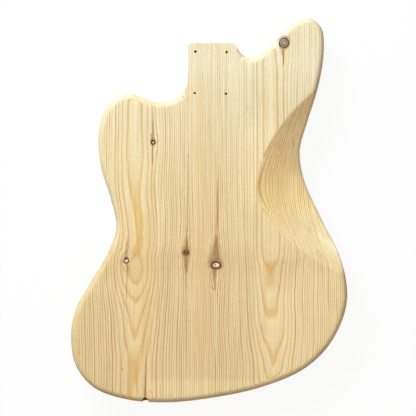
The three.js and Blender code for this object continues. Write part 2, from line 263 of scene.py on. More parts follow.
# A place lies inside an edge if a line from it towards +X crosses the edge's sides an odd number of times
def insideEdge(place, edge):
    ahead = np.roll(edge, -1, axis=0)
    x, y = place[:, :1], place[:, 1:]
    spans = (edge[None, :, 1] > y) != (ahead[None, :, 1] > y)
    rise = np.where(ahead[:, 1] == edge[:, 1], 1, ahead[:, 1] - edge[:, 1])
    crossing = edge[None, :, 0] + (y - edge[None, :, 1]) / rise * (ahead[:, 0] - edge[:, 0])
    return (spans & (x < crossing)).sum(axis=1) % 2 == 1


# Points of a lid: an even grid, and closer rows along the crest, whose reaches are shares of its softness
lid = {
    "gridStep": 5,
    "edgeClear": 2,
    "rowStep": 3,
    "rows": 9,
    "rowReach": 1.2,
    "crestClear": 1.6,
}


# A lid fills a ring with triangles
def lidSurface(ring, contour):
    low, high = ring.min(axis=0), ring.max(axis=0)
    gridX, gridY = np.meshgrid(*(np.arange(*span, lid["gridStep"]) for span in zip(low, high)))
    apart = np.abs(gridX - crestAt(contour, gridY)) > lid["crestClear"] * contour["softness"]
    rowY = np.arange(low[1], high[1], lid["rowStep"])[:, None]
    offsets = np.linspace(-lid["rowReach"], lid["rowReach"], lid["rows"]) * contour["softness"]
    rows = np.stack(np.broadcast_arrays(crestAt(contour, rowY) + offsets, rowY), axis=-1)
    inner = np.vstack([np.stack([gridX, gridY], axis=-1)[apart], rows.reshape(-1, 2)])
    inner = inner[insideEdge(inner, ring)]
    clear = np.linalg.norm(inner[:, None] - ring[None], axis=2).min(axis=1) > lid["edgeClear"]
    flat = [Vector(place) for place in np.vstack([ring, inner[clear]]).tolist()]
    vertices, _, triangles, *_ = delaunay_2d_cdt(flat, [], [list(range(len(ring)))], 1, 1e-5)
    return np.array([[v.x, v.y] for v in vertices]), triangles


# The blank: rings of the outline stepped in round the two roundovers, closed by a lid on either side
def makeBlank():
    turns = np.linspace(0, np.pi / 2, body["roundoverSteps"] + 1)

    def ringAt(turn, height):
        inset = outlineRadius * (1 - np.cos(turn))
        x, y = (outlinePoints - outlineOutward * inset[:, None]).T
        return ringPoints(x, y, height(x, y, outlineRadius, inset))

    front = [ringAt(turn, frontHeight) for turn in turns[::-1]]
    rear = [ringAt(turn, backHeight) for turn in turns]
    shares = np.linspace(0, 1, body["wallSteps"] + 1)[1:-1]
    wall = [front[-1] + (rear[0] - front[-1]) * share for share in shares]
    rings = np.stack(front + wall + rear)
    points, faces = [rings.reshape(-1, 3)], gridFaces(len(rings), rings.shape[1]).tolist()
    for ring, contour, height in ((rings[0], forearmSlope, frontHeight), (rings[-1], bellyScoop, backHeight)):
        place, triangles = lidSurface(ring[:, :2], contour)
        start = sum(len(part) for part in points)
        points.append(ringPoints(*place.T, height(*place.T)))
        faces += [[start + corner for corner in triangle] for triangle in triangles]
    return makePiece("blank", np.vstack(points), faces)


blank = makeBlank()
print("blank:", len(blank.data.polygons), "faces")


# The edge of everything within a radius of its middles (a point, a line or a rectangle, anticlockwise): an
# arc about each middle, from the direction square to the side before it to that of the side after it
def roundedEdge(middles, steps):
    middles = np.array(middles, dtype=float)
    if len(middles) == 1:
        turn = fullTurn(4 * steps)
        return np.repeat(middles, len(turn), axis=0), directions(turn)
    along = np.roll(middles, -1, axis=0) - middles
    leaving = np.arctan2(-along[:, 0], along[:, 1])
    entering = np.roll(leaving, 1)
    sweep = (leaving - entering) % (2 * np.pi)
    turn = (entering[:, None] + sweep[:, None] * np.linspace(0, 1, steps + 1)).ravel()
    return np.repeat(middles, steps + 1, axis=0), directions(turn)


routs = {
    "overrun": 4,
    "mouthEase": 0.5,
    "floorEase": 0.9,
    "floorSteps": 3,
    "pocketWidth": 56,
    "pocketLength": 76,
    "pocketDepth": 16,
    "pocketCorner": 6,
    "trebleWall": 16,
    "bassWall": 67,
    "reliefReach": 12,
    "reliefCorner": 0.5,
    "corner": 6,
    "pickupWidth": 94,
    "pickupLength": 58,
    "pickupDepth": 19,
    "neckPickupGap": 8,
    "bridgePickupY": 18,
    "postX": 37,
    "postRadius": 6,
    "postDepth": 20,
    "tremoloWidth": 50,
    "tremoloLength": 90,
    "tremoloDepth": 30,
    "tremoloY": -56,
    "cavityFloor": 8,
    "controlWidth": 44,
    "controlEndsShares": [(-0.311, -0.107), (-0.355, -0.213)],
    "switchWidth": 36,
    "switchEndsShares": [(-0.308, 0.333), (-0.296, 0.29)],
    "rhythmWidth": 22,
    "rhythmDepth": 30,
    "rhythmEndsShares": [(0.248, 0.33), (0.29, 0.475)],
    "channelWidth": 10,
    "channelDepth": 15,
    "pickupChannelX": -30,
}
neckScrews = {
    "spacing": (38.1, 50.8),
    "fromHeelEnd": 36.4,
    "offset": -0.7,
    "turn": np.radians(-1),
    "radius": 1.6,
    "mouthEase": 0.25,
    "cornerSteps": 6,
}


# A cutter carries a rounded edge down a profile of (radius, height), from past the face to the rout's floor
def makeCutter(name, middles, profile, steps):
    centres, outwards = roundedEdge(middles, steps)
    rings = [ringPoints(*(centres + outwards * radius).T, z) for radius, z in profile]
    return makePlug(name, rings, weld=0.0001)


def routCutter(name, middles, radius, depth):
    mouth, floor = routs["mouthEase"], min(routs["floorEase"], 0.5 * radius)
    turns = np.linspace(0, np.pi / 2, routs["floorSteps"] + 1)
    profile = [(radius + mouth, -routs["overrun"]), (radius + mouth, 0), (radius, mouth)]
    profile += [(radius - floor * (1 - np.cos(turn)), depth - floor * (1 - np.sin(turn))) for turn in turns]
    return makeCutter(name, middles, profile, body["cornerSteps"])


# The middles of a rectangle's corner arcs
def rectangle(x0, x1, y0, y1, radius):
    x0, x1, y0, y1 = x0 + radius, x1 - radius, y0 + radius, y1 - radius
    return [(x0, y0), (x1, y0), (x1, y1), (x0, y1)]


def frontCutters():
    r = routs
    corner, relief, half = r["pocketCorner"], r["reliefCorner"], r["pocketWidth"] / 2
    pocketEnd, outside = heelEnd - r["pocketLength"], heelEnd + 2 * corner
    trebleRelief = rectangle(-half - r["reliefReach"], 0, pocketEnd + r["trebleWall"], outside, relief)
    bassRelief = rectangle(0, half + r["reliefReach"], pocketEnd + r["bassWall"], outside, relief)
    cuts = [
        ("pocket", rectangle(-half, half, pocketEnd, outside, corner), corner, r["pocketDepth"]),
        ("trebleRelief", trebleRelief, relief, r["pocketDepth"]),
        ("bassRelief", bassRelief, relief, r["pocketDepth"]),
    ]
    pickupHalf, neckHigh = r["pickupWidth"] / 2, pocketEnd - r["neckPickupGap"]
    pickups = {"neckPickup": neckHigh - r["pickupLength"], "bridgePickup": r["bridgePickupY"]}
    for name, low in pickups.items():
        shape = rectangle(-pickupHalf, pickupHalf, low, low + r["pickupLength"], r["corner"])
        cuts.append((name, shape, r["corner"], r["pickupDepth"]))
    for side in (-1, 1):
        cuts.append((f"post{side}", [(side * r["postX"], 0)], r["postRadius"], r["postDepth"]))
    wide, low = r["tremoloWidth"] / 2, r["tremoloY"] - r["tremoloLength"]
    tremolo = rectangle(-wide, wide, low, r["tremoloY"], r["corner"])
    cuts.append(("tremolo", tremolo, r["corner"], r["tremoloDepth"]))
    cavityDepth = body["thickness"] - r["cavityFloor"]
    depths = {"control": cavityDepth, "switch": cavityDepth, "rhythm": r["rhythmDepth"]}
    ends = {name: np.array(r[name + "EndsShares"]) * bodySpan for name in depths}
    cuts += [(name, ends[name], r[name + "Width"] / 2, depth) for name, depth in depths.items()]
    inset = pickupHalf - r["channelWidth"]
    neckMiddle, bridgeMiddle = (low + r["pickupLength"] / 2 for low in pickups.values())
    routes = [
        [(r["pickupChannelX"], neckMiddle), (r["pickupChannelX"], bridgeMiddle)],
        [(-inset, bridgeMiddle), ends["control"][0]],
        [(-inset, ends["switch"][1][1]), ends["switch"][1]],
        [(inset, ends["rhythm"][0][1]), ends["rhythm"][0]],
    ]
    channel = r["channelWidth"] / 2, r["channelDepth"]
    cuts += [(f"channel{i}", route, *channel) for i, route in enumerate(routes)]
    return [routCutter(*cut) for cut in cuts]


# Four holes on the corners of the neck plate's pattern, right through and eased at the back
def screwHolePlaces():
    half = np.array(neckScrews["spacing"]) / 2
    corners = np.array([(-1, -1), (1, -1), (1, 1), (-1, 1)]) * half
    turn = neckScrews["turn"]
    spin = np.array([[np.cos(turn), np.sin(turn)], [-np.sin(turn), np.cos(turn)]])
    return corners @ spin + [neckScrews["offset"], heelEnd - neckScrews["fromHeelEnd"]]


def screwHoleCutters():
    radius, ease, steps = neckScrews["radius"], neckScrews["mouthEase"], neckScrews["cornerSteps"]
    reach, top = routs["overrun"], body["thickness"]
    profile = [(radius, -reach), (radius, top - ease), (radius + ease, top), (radius + ease, top + reach)]
    return [makeCutter(f"screwHole{i}", [place], profile, steps) for i, place in enumerate(screwHolePlaces())]


# Each knot: its place and depth, the half widths of its ring of bark and its core, its lobes (how many, how
# large, where), how far it parts the grain, the tones and the number of rings of its face, a pale spot and a
# fleck on it, and the stains on the wood beside it (direction in degrees, reach as a share of its radius)
knots = {
    "bass_horn": {
        "placeShares": (0.2624, 0.5522), "ring": (6.8, 6.9), "core": (5.6, 5.7), "depth": 24, "bend": 6.4,
        "lobes": [(2, 0.02, 0.4), (3, 0.025, 1.9), (5, 0.012, 0.3)],
        "face": {"light": (178, 158, 140), "dark": (100, 80, 70), "rim": (80, 62, 54), "rings": 3.6},
        "spot": {"place": (0.2, 0.3), "radius": 0.8, "tone": (222, 208, 186)},
        "fleck": {"place": (-1.6, -4.9), "radius": 0.75, "tone": (206, 196, 184)},
        "stains": [
            (50, 0.4, "amber", 0.7), (105, 0.7, "grey", 0.8), (195, 0.5, "orange", 0.3),
            (262, 0.35, "grey", 0.8),
        ],
    },
    "treble_horn": {
        "placeShares": (-0.2095, 0.2942), "ring": (3.6, 3.6), "core": (1.9, 1.5), "depth": 16, "bend": 4.6,
        "lobes": [(2, 0.03, 1.1), (3, 0.04, 0.2), (5, 0.02, 2.1)],
        "face": {"light": (214, 196, 168), "dark": (150, 118, 92), "rim": (104, 78, 60), "rings": 1},
        "spot": {"place": (0.2, -0.5), "radius": 0.75, "tone": (236, 224, 202)},
        "fleck": {"place": (-0.5, 0.9), "radius": 0.9, "tone": (84, 62, 48)},
        "stains": [(95, 0.8, "umber", 0.6), (250, 0.5, "umber", 0.35)],
    },
    "treble_waist": {
        "placeShares": (-0.3062, -0.0132), "ring": (4, 4), "core": (2.7, 2.4), "depth": 18, "bend": 5,
        "lobes": [(2, 0.03, 2.2), (3, 0.06, 1.4), (4, 0.02, 0.6)],
        "face": {"light": (232, 220, 200), "dark": (186, 166, 140), "rim": (128, 104, 84), "rings": 1},
        "spot": {"place": (0.5, -0.5), "radius": 1.1, "tone": (242, 234, 218)},
        "fleck": {"place": (-0.7, 1.9), "radius": 1, "tone": (70, 54, 44)},
        "stains": [(235, 0.7, "amber", 0.45), (85, 0.5, "umber", 0.6)],
    },
    "bridge_treble": {
        "placeShares": (-0.0899, 0.0081), "ring": (4.1, 3.9), "core": (2.5, 2.4), "depth": 15, "bend": 5.2,
        "lobes": [(2, 0.04, 0.2), (3, 0.05, 2.6), (5, 0.02, 1.2)],
        "face": {"light": (118, 94, 76), "dark": (56, 42, 36), "rim": (84, 64, 50), "rings": 1.2},
        "spot": {"place": (1, 1.9), "radius": 0.7, "tone": (206, 192, 166)},
        "fleck": {"place": (0.3, -1.7), "radius": 1, "tone": (158, 134, 110)},
        "stains": [(215, 0.8, "umber", 0.75), (20, 0.3, "umber", 0.4)],
    },
    "bridge_bass": {
        "placeShares": (0.0175, -0.0252), "ring": (7.2, 5.1), "core": (4.9, 3.2), "depth": 26, "bend": 7.4,
        "lobes": [(2, 0.03, 1.6), (3, 0.03, 0.8), (5, 0.02, 2.9)],
        "face": {"light": (228, 210, 168), "dark": (184, 158, 112), "rim": (128, 98, 64), "rings": 1.5},
        "spot": {"place": (1.3, 0.7), "radius": 1.8, "tone": (248, 238, 208)},
        "fleck": {"place": (-1.3, 0.6), "radius": 1.2, "tone": (172, 146, 110)},
        "stains": [
            (5, 0.5, "rose", 0.7), (90, 0.7, "umber", 0.7), (200, 0.4, "umber", 0.5),
            (270, 0.3, "umber", 0.6),
        ],
    },
}
plug = {"taperShare": 0.55, "topReach": 4, "clearance": 0.07, "sides": 48, "smoothAngle": 60}


# Radius of an uneven round: one, and a wave round it for each lobe (how many times, how large, where)
def lobedRadius(lobes, turn):
    return 1 + sum(size * np.cos(order * turn + phase) for order, size, phase in lobes)


# A knot's edge is an ellipse with a few slow lobes, and it narrows evenly from the back to the plug's tip
def knotEdge(knot, half, growth, turn, z):
    share = (body["thickness"] + plug["topReach"] - z) / (knot["depth"] + plug["topReach"])
    radius = lobedRadius(knot["lobes"], turn) * (1 - (1 - plug["taperShare"]) * share)
    placeX, placeY = placeOf(knot)
    x = placeX + (half[0] * radius + growth) * np.cos(turn)
    y = placeY + (half[1] * radius + growth) * np.sin(turn)
    return x, y


def knotCutters():
    turn, top = fullTurn(plug["sides"]), body["thickness"]
    cutters = []
    for name, knot in knots.items():
        heights = (top + plug["topReach"], top - knot["depth"] - plug["clearance"])
        rings = [ringPoints(*knotEdge(knot, knot["ring"], plug["clearance"], turn, z), z) for z in heights]
        cutters.append(makePlug("hole_" + name, rings))
    return cutters


barkPocket = {
    "placeShares": (-0.238, -0.3805),
    "half": (4.4, 6),
    "depth": 26,
    "recess": 1.9,
    "middleRecess": 3.5,
    "gap": 0.3,
    "sunk": 0.5,
    "bend": 4.2,
    "sides": 40,
    "lobes": [(3, 0.03, 0.7), (5, 0.03, 0)],
    # rough lobes of the bark, whose place steps on from ring to ring, and the waves of its weathered side
    "crumbs": [(5, 0.04, 1), (11, 0.03, -2)],
    "waves": 0.25,
    "waveTurn": 3,
    # how far under its top a ring lies, and its share of the width
    "profile": [
        (1.6, 0), (1.5, 0.5), (1.3, 0.85), (1.7, 0.97), (4, 1), (9, 1), (15, 1), (21, 1), (25.4, 1),
        (25.7, 0),
    ],
}


# The notch in the board: an uneven ellipse that narrows downwards
def barkNotchCutter():
    turn, top = fullTurn(barkPocket["sides"]), body["thickness"]
    place, half = placeOf(barkPocket), barkPocket["half"]
    rough = lobedRadius(barkPocket["lobes"], turn)
    rings = []
    for z, scale in ((top + plug["topReach"], 1), (top - barkPocket["depth"], plug["taperShare"])):
        x = place[0] + half[0] * scale * rough * np.cos(turn)
        y = place[1] + half[1] * scale * rough * np.sin(turn)
        rings.append(ringPoints(x, y, z))
    return makePlug("barkNotch", rings)


# What a piece becomes once its modifiers have run
def bake(piece, name):
    seen = piece.evaluated_get(bpy.context.evaluated_depsgraph_get())
    mesh = bpy.data.meshes.new_from_object(seen)
    mesh.name = name
    made = bpy.data.objects.new(name, mesh)
    bpy.context.scene.collection.objects.link(made)
    return made


def remove(pieces):
    for piece in pieces:
        bpy.data.objects.remove(piece, do_unlink=True)


# Every rout, drilling and knot's hole is cut into the blank, which is then parted at the glue line
def makeBoards():
    cutters = frontCutters() + screwHoleCutters() + knotCutters() + [barkNotchCutter()]
    tools = bpy.data.collections.new("tools")
    for cutter in cutters:
        tools.objects.link(cutter)
    cut = blank.modifiers.new("cuts", "BOOLEAN")
    cut.operation, cut.operand_type, cut.collection, cut.solver = "DIFFERENCE", "COLLECTION", tools, "EXACT"
    shaped = bake(blank, "shaped")
    print("cuts made:", len(cutters))
    boards = []
    (far, long), glueLine = bodySpan, body["glueLineX"]
    for name, x0, x1 in (("board_treble", -far, glueLine), ("board_bass", glueLine, far)):
        corners = [(x, y, z) for x in (x0, x1) for y in (-long, long) for z in (-far, far)]
        sides = [(0, 1, 3, 2), (4, 5, 7, 6), (0, 1, 5, 4), (2, 3, 7, 6), (0, 2, 6, 4), (1, 3, 7, 5)]
        half = makePiece("half", corners, sides)
        keep = shaped.modifiers.new("half", "BOOLEAN")
        keep.operation, keep.object, keep.solver = "INTERSECT", half, "EXACT"
        boards.append(bake(shaped, name + "_wood"))
        shaped.modifiers.clear()
        remove([half])
    remove(cutters + [blank, shaped])
    bpy.data.collections.remove(tools)
    return boards


boardTreble, boardBass = makeBoards()
print("boards:", len(boardTreble.data.polygons), "and", len(boardBass.data.polygons), "faces")


coreFace = {
    "ringShares": (0, 0.12, 0.25, 0.4, 0.55, 0.7, 0.83, 0.92, 0.97, 1),
    "dish": 0.12,
    # height and number of the face's rings and of its wrinkles, and how far these twist outwards
    "rings": (0.05, 9),
    "wrinkles": (0.04, 7, 5),
    "rimShare": 0.92,
    "rimDrop": 0.25,
    "shoulder": 1.2,
    "sideShares": (0.1, 0.5, 1),
}


# A knot's core: rings from a pole at its middle, over a slightly dished top and a broken rim, down the
# tapering side to a pole at the tip
def makeCore(name, knot):
    turn, top = fullTurn(plug["sides"]), body["thickness"]
    phase = knot["lobes"][0][2]
    rings = []
    for share in coreFace["ringShares"]:
        x, y = knotEdge(knot, np.array(knot["core"]) * share, 0, turn, top)
        broken = (max(0, share - coreFace["rimShare"]) / (1 - coreFace["rimShare"])) ** 2
        height, count = coreFace["rings"]
        dish = height * np.cos(count * share + phase) - coreFace["dish"] - coreFace["rimDrop"] * broken
        height, count, twist = coreFace["wrinkles"]
        wrinkle = height * share * np.cos(count * turn + twist * share + phase)
        rings.append(ringPoints(x, y, backAt(x, y) + dish + wrinkle))
    shoulder = coreFace["shoulder"]
    for share in coreFace["sideShares"]:
        z = top - shoulder - share * (knot["depth"] - shoulder)
        rings.append(ringPoints(*knotEdge(knot, knot["core"], 0, turn, z), z))
    rings.append(ringPoints(*knotEdge(knot, (0, 0), 0, turn, top), top - knot["depth"]))
    return makeShell("core_" + name, rings)


barkFace = {
    # share of the way from the inner wall to the outer, and height over the back
    "profile": [(0, -0.45), (0.18, -0.3), (0.4, -0.22), (0.62, -0.25), (0.82, -0.16), (1, -0.3)],
    # coarse and fine crumbs: height, number round the ring, how far they twist across it, share of the phase
    "crumbs": [(0.07, 13, 6, 1), (0.05, 23, -9, 2)],
    "wallRingDepth": 8,
}


# Its ring of bark: a closed section of inner wall, rough top and outer wall, carried round the core
def makeBark(name, knot):
    turn, clearance = fullTurn(2 * plug["sides"]), plug["clearance"]
    phase = knot["lobes"][1][2]
    top, tip = body["thickness"], body["thickness"] - knot["depth"]
    inner, outer = np.array(knot["core"]), np.array(knot["ring"])
    rings = []
    for share, dish in barkFace["profile"]:
        x, y = knotEdge(knot, inner + (outer - inner) * share, clearance * (1 - share), turn, top)
        crumbs = 0
        for height, count, twist, times in barkFace["crumbs"]:
            crumbs = crumbs + height * np.cos(count * turn + twist * share + times * phase)
        rings.append(ringPoints(x, y, backAt(x, y) + dish + crumbs))
    side = top - barkFace["wallRingDepth"]
    walls = ((outer, 0, (side, tip)), (inner, clearance, (tip, side)))
    for half, growth, heights in walls:
        rings += [ringPoints(*knotEdge(knot, half, growth, turn, z), z) for z in heights]
    return makeShell("bark_" + name, rings, closedRows=True)


# The bark left in the notch: a flattened plug whose weathered side stops short of the edge
def makeBarkPocket():
    turn, top = fullTurn(2 * barkPocket["sides"]), body["thickness"] - barkPocket["sunk"]
    place, half = placeOf(barkPocket), np.array(barkPocket["half"]) - barkPocket["gap"]
    reach = barkPocket["depth"] + plug["topReach"]
    middle = place[1] + barkPocket["middleRecess"]
    rings = []
    for row, (drop, scale) in enumerate(barkPocket["profile"]):
        taper = 1 - (1 - plug["taperShare"]) * (drop + plug["topReach"]) / reach
        rough = lobedRadius([(order, size, step * row) for order, size, step in barkPocket["crumbs"]], turn)
        x = place[0] + half[0] * taper * scale * rough * np.cos(turn)
        waves = barkPocket["waves"] * np.cos(barkPocket["waveTurn"] * x + row)
        weathered = place[1] + barkPocket["recess"] + waves
        y = np.maximum(place[1] + half[1] * taper * rough * np.sin(turn), weathered)
        rings.append(ringPoints(x, middle + (y - middle) * scale, top - drop))
    return makeShell("bark_in_notch", rings)


cores = {name: makeCore(name, knot) for name, knot in knots.items()}
barks = {name: makeBark(name, knot) for name, knot in knots.items()}
barkInNotch = makeBarkPocket()
print("knots:", len(cores))


def colour(red, green, blue):
    share = np.array([red, green, blue]) / 255
    linear = np.where(share <= 0.04045, share / 12.92, ((share + 0.055) / 1.055) ** 2.4)
    return (*linear.tolist(), 1)


# Feeds a socket with a field, with another socket, or with a fixed number or colour
def feed(tree, socket, value):
    if isinstance(value, Field):
        tree.links.new(value.socket, socket)
    elif isinstance(value, bpy.types.NodeSocket):
        tree.links.new(value, socket)
    else:
        socket.default_value = value if isinstance(value, tuple) else float(value)


# A number at every point of a surface. Arithmetic on fields adds Math nodes.
class Field:
    def __init__(self, tree, socket):
        self.tree = tree
        self.socket = socket

    def math(self, kind, *others):
        node = self.tree.nodes.new("ShaderNodeMath")
        node.operation = kind
        for socket, value in zip(node.inputs, (self, *others)):
            feed(self.tree, socket, value)
        return Field(self.tree, node.outputs[0])

    def squared(self):
        return self.math("POWER", 2)

    def __add__(self, other):
        return self.math("ADD", other)

    def __sub__(self, other):
        return self.math("SUBTRACT", other)

    def __mul__(self, other):
        return self.math("MULTIPLY", other)

    def __truediv__(self, other):
        return self.math("DIVIDE", other)

    # Brings a field of 0 to 1 up to a least value
    def atLeast(self, least):
        return self * (1 - least) + least

    # 0 below low, 1 above high and smooth between, or the other way round where low is above high
    def ramp(self, low, high):
        node = self.tree.nodes.new("ShaderNodeMapRange")
        node.interpolation_type = "SMOOTHSTEP"
        for name, value in (("Value", self), ("From Min", low), ("From Max", high)):
            feed(self.tree, node.inputs[name], value)
        return Field(self.tree, node.outputs["Result"])

    # A smooth curve through pairs of (field, value)
    def curve(self, pairs):
        xs, ys = np.array(pairs, dtype=float).T
        lowX, lowY = xs.min(), ys.min()
        spanX, spanY = np.ptp(xs), max(np.ptp(ys), 1e-6)
        share = (self - lowX) / spanX
        node = self.tree.nodes.new("ShaderNodeFloatCurve")
        points = node.mapping.curves[0].points
        order = np.argsort(xs)
        while len(points) < len(xs):
            points.new(0.5, 0.5)
        for point, i in zip(points, order):
            point.location = ((xs[i] - lowX) / spanX, (ys[i] - lowY) / spanY)
            point.handle_type = "AUTO_CLAMPED"
        node.mapping.update()
        feed(self.tree, node.inputs["Value"], share)
        return Field(self.tree, node.outputs[0]) * spanY + lowY


# Mixes two colours, or multiplies them, each fixed or from another node
def mixColours(tree, factor, first, second, kind="MIX"):
    node = tree.nodes.new("ShaderNodeMix")
    node.data_type, node.blend_type = "RGBA", kind
    pair = [socket for socket in node.inputs if socket.type == "RGBA"]
    for socket, value in zip((node.inputs[0], *pair), (factor, first, second)):
        feed(tree, socket, value)
    return [output for output in node.outputs if output.type == "RGBA"][0]


# One material, with the point it paints in millimetres. Nodes are made in the order that they feed each
# other, and colours stay colours all the way, so that the renderer has few values to hold at a time.
class Finish:
    def __init__(self, name, roughness, specular):
        self.material = bpy.data.materials.new(name)
        self.material.use_nodes = True
        self.tree = self.material.node_tree
        self.shader = self.tree.nodes["Principled BSDF"]
        self.shader.inputs["Roughness"].default_value = roughness
        self.shader.inputs["Specular IOR Level"].default_value = specular
        coordinates = self.tree.nodes.new("ShaderNodeTexCoord")
        split = self.tree.nodes.new("ShaderNodeSeparateXYZ")
        self.tree.links.new(coordinates.outputs["Object"], split.inputs[0])
        self.x, self.y, self.z = (Field(self.tree, output) / metre for output in split.outputs)

    # Clouds of the given sizes along x, y and z, or along the fields of another place
    def noise(self, sizes, detail, seed=0, place=None):
        fields = [field / size + seed for field, size in zip(place or (self.x, self.y, self.z), sizes)]
        point = self.tree.nodes.new("ShaderNodeCombineXYZ")
        for field, socket in zip(fields, point.inputs):
            feed(self.tree, socket, field)
        node = self.tree.nodes.new("ShaderNodeTexNoise")
        node.inputs["Scale"].default_value = 1
        node.inputs["Detail"].default_value = detail
        self.tree.links.new(point.outputs[0], node.inputs["Vector"])
        return Field(self.tree, node.outputs[0])

    # A number between 0 and 1 that looks random, and is always the same for the same value of a field
    def chance(self, field):
        node = self.tree.nodes.new("ShaderNodeTexWhiteNoise")
        node.noise_dimensions = "1D"
        feed(self.tree, node.inputs["W"], field)
        return Field(self.tree, node.outputs["Value"])

    def blend(self, factor, first, second):
        return mixColours(self.tree, factor, first, second)

    def multiply(self, tint, by):
        return mixColours(self.tree, 1, tint, by, "MULTIPLY")

    # Scales a tint by a field, whose change from 1 each channel takes by its own share
    def brighten(self, tint, field, shares):
        levels = [(field - 1) * share + 1 for share in shares]
        node = self.tree.nodes.new("ShaderNodeCombineColor")
        for level, socket in zip(levels, node.inputs):
            feed(self.tree, socket, level)
        return self.multiply(tint, node.outputs[0])

    # Bumps of the given strength follow a field of heights, up to a distance in millimetres
    def paint(self, tint, height, strength, distance):
        self.tree.links.new(tint, self.shader.inputs["Base Color"])
        bump = self.tree.nodes.new("ShaderNodeBump")
        bump.inputs["Strength"].default_value = strength
        bump.inputs["Distance"].default_value = distance * metre
        feed(self.tree, bump.inputs["Height"], height)
        self.tree.links.new(bump.outputs[0], self.shader.inputs["Normal"])
        return self.material


# A straight view of the back, for places that are easier to give in its pixels: the pixel of the origin, and
# how many millimetres a pixel is wide
backView = {"column": 211.3, "row": 255.5, "pixelWidth": 1.22}


def fromView(column, row):
    return np.array([column - backView["column"], backView["row"] - row]) * backView["pixelWidth"]


pine = {
    "roughness": 0.62,
    "specular": 0.3,
    "bumpStrength": 0.15,
    "bumpDistance": 0.15,
    "paleTop": colour(237, 226, 190),
    "paleTail": colour(232, 209, 156),
    "lateTop": colour(206, 168, 112),
    "lateTail": colour(176, 132, 74),
    "lateCentre": colour(203, 160, 94),
    "gold": colour(228, 193, 119),
    # how much more or less than green red and blue follow the grain's light and dark
    "shadeShares": (0.8, 1, 1.4),
    # lighter or darker patches: across and down ranges of the place, and how much each adds
    "shades": [
        ((25, 105), (40, -30), 0.14),
        ((25, 50), (45, 75), 0.06),
        ((25, 50), (148, 185), -0.08),
        # painted light: a lighter strip along the tail's edge, whose roundover the lamp leaves darker
        ((-83, -73), (-146, -157), 0.11),
        ((-85, -125), (-35, -60), -0.04),
    ],
    # a darker band right across: where it begins and ends, and how much it adds
    "middleShade": ((14, 0), (-34, -14), -0.055),
    # share of the way from the top's to the tail's tones
    "toneRun": [(290, 0), (240, 0), (215, 0.22), (170, 0.42), (98, 0.7), (-60, 1), (-98, 1), (-180, 1)],
    "ringWidth": 1.15,
    "ringGrowth": 0.02,
    "pithHeight": 70,
    "archReach": 40,
    # how far the fibres wander and sway, and how they part and ripple round the knots
    "wander": 4,
    "sway": 1.4,
    "stretch": 2.4,
    "ripple": 4,
    "rippleReach": 3,
    # how many rings the lines jump about, far from the centre lines, and how far they fray near them
    "jitter": 1.1,
    "jitterRange": (8, 30),
    "jitterRings": 2.3,
    "fray": 0.3,
    "frayRange": (20, 5),
    # the arches end in a point on the treble board and in a flat round on the bass board
    "pointReach": 9,
    "pointRings": 0.3,
    "roundReach": 14,
    "roundRings": 0.3,
    "tipRange": (-45, -75),
    "roundRange": (-130, -95),
    # reaches of the centre line's broad golden rings, strong lines, soft lines and brown tone
    "centreReach": (13, 4),
    "strongReach": (24, 12),
    "softReach": (28, 12),
    "brownReach": (34, 14),
    # how far a ring's number and its noise are from the same ring's on the other board
    "boardRings": 57,
    "boardNoise": 9,
    # centre line of each board's arches and the ring number along it, down the length
    "pithX": (-90.5, 72),
    "trebleSway": [
        (189, -1), (116, -1.2), (92, -1.6), (64, 0.2), (37, 2.7), (24, 3), (5, 0.8), (-14, -2.2), (-40, -2),
        (-61, -1.4), (-104, -2.2), (-171, -3.2),
    ],
    "bassSway": [
        (226, 0), (128, -0.4), (67, -1), (-30, -1.2), (-75, 0.5), (-134, 2.6), (-156, -1), (-180, -1),
    ],
    "trebleRings": [
        (189, 0.5), (165, 0.4), (128, 0.25), (104, 0.45), (85, 0.64), (67, 0.76), (55, 0.8), (37, 0.84),
        (24, 0.9), (12, 0.9), (4, 0.87), (-2, 0.69), (-8.5, 0.52), (-15.5, 0.45), (-22, 0.51), (-28, 0.65),
        (-34, 0.9), (-54, 1.82), (-79, 2.45), (-104, 3), (-118, 3.35), (-130, 3.55), (-180, 3.6),
    ],
    "bassRings": [
        (260, 0.45), (129, 0.42), (100, 0.3), (70, 0.06), (19, 0.02), (7, 0.12), (-1, 0.25), (-8, 0.55),
        (-15, 0.84), (-25, 0.98), (-33, 1.08), (-50, 1.4), (-78, 2), (-104, 2.5),
        (-136, 3), (-146, 3.5), (-154, 4), (-175, 4.6),
    ],
}
# Noises of the figure: sizes across the grain, along it and down into the wood, detail, seed
noises = {
    "wander": ((90, 150, 90), 1, 0),
    "sway": ((22, 60, 22), 1, 7),
    "ripple": ((5, 11, 5), 1, 23),
    "fibre": ((0.7, 34, 0.9), 3, 0),
    "jitter": ((1, 1, 1), 1, 0),
    "patches": ((4, 70, 6), 2, 9),
    "flecks": ((1.2, 16, 1.5), 2, 13),
    "cloud": ((26, 70, 20), 2, 3),
    "grit": ((0.9, 3.6, 0.9), 2, 5),
    "threads": ((1.3, 120, 1.6), 1, 17),
    "ragged": ((1.5, 9, 3), 2, 11),
    "toothed": ((1.1, 60, 3), 1, 19),
}
# The dark line at the end of a ring, a golden band before it near the centre lines, and the share of each
# noise in the light and dark of the wood. Where a line or band rises and ends is a share of the ring.
lateWood = {
    "rise": 0.5,
    "centreRise": 0.14,
    "full": 0.86,
    "endRange": (1, 0.9),
    "least": 0.25,
    "centreLeast": 0.7,
    "patchRange": (0.3, 0.6),
    "patchLeast": 0.55,
    "bump": 0.5,
}
goldBand = {"riseRange": (0.6, 0.84), "endRange": (1, 0.93), "fleckRange": (0.25, 0.6), "least": 0.6}
levels = {"fibre": 0.26, "threads": 0.42, "cloud": 0.12, "grit": 0.3, "ring": 0.1, "plain": 0.49}
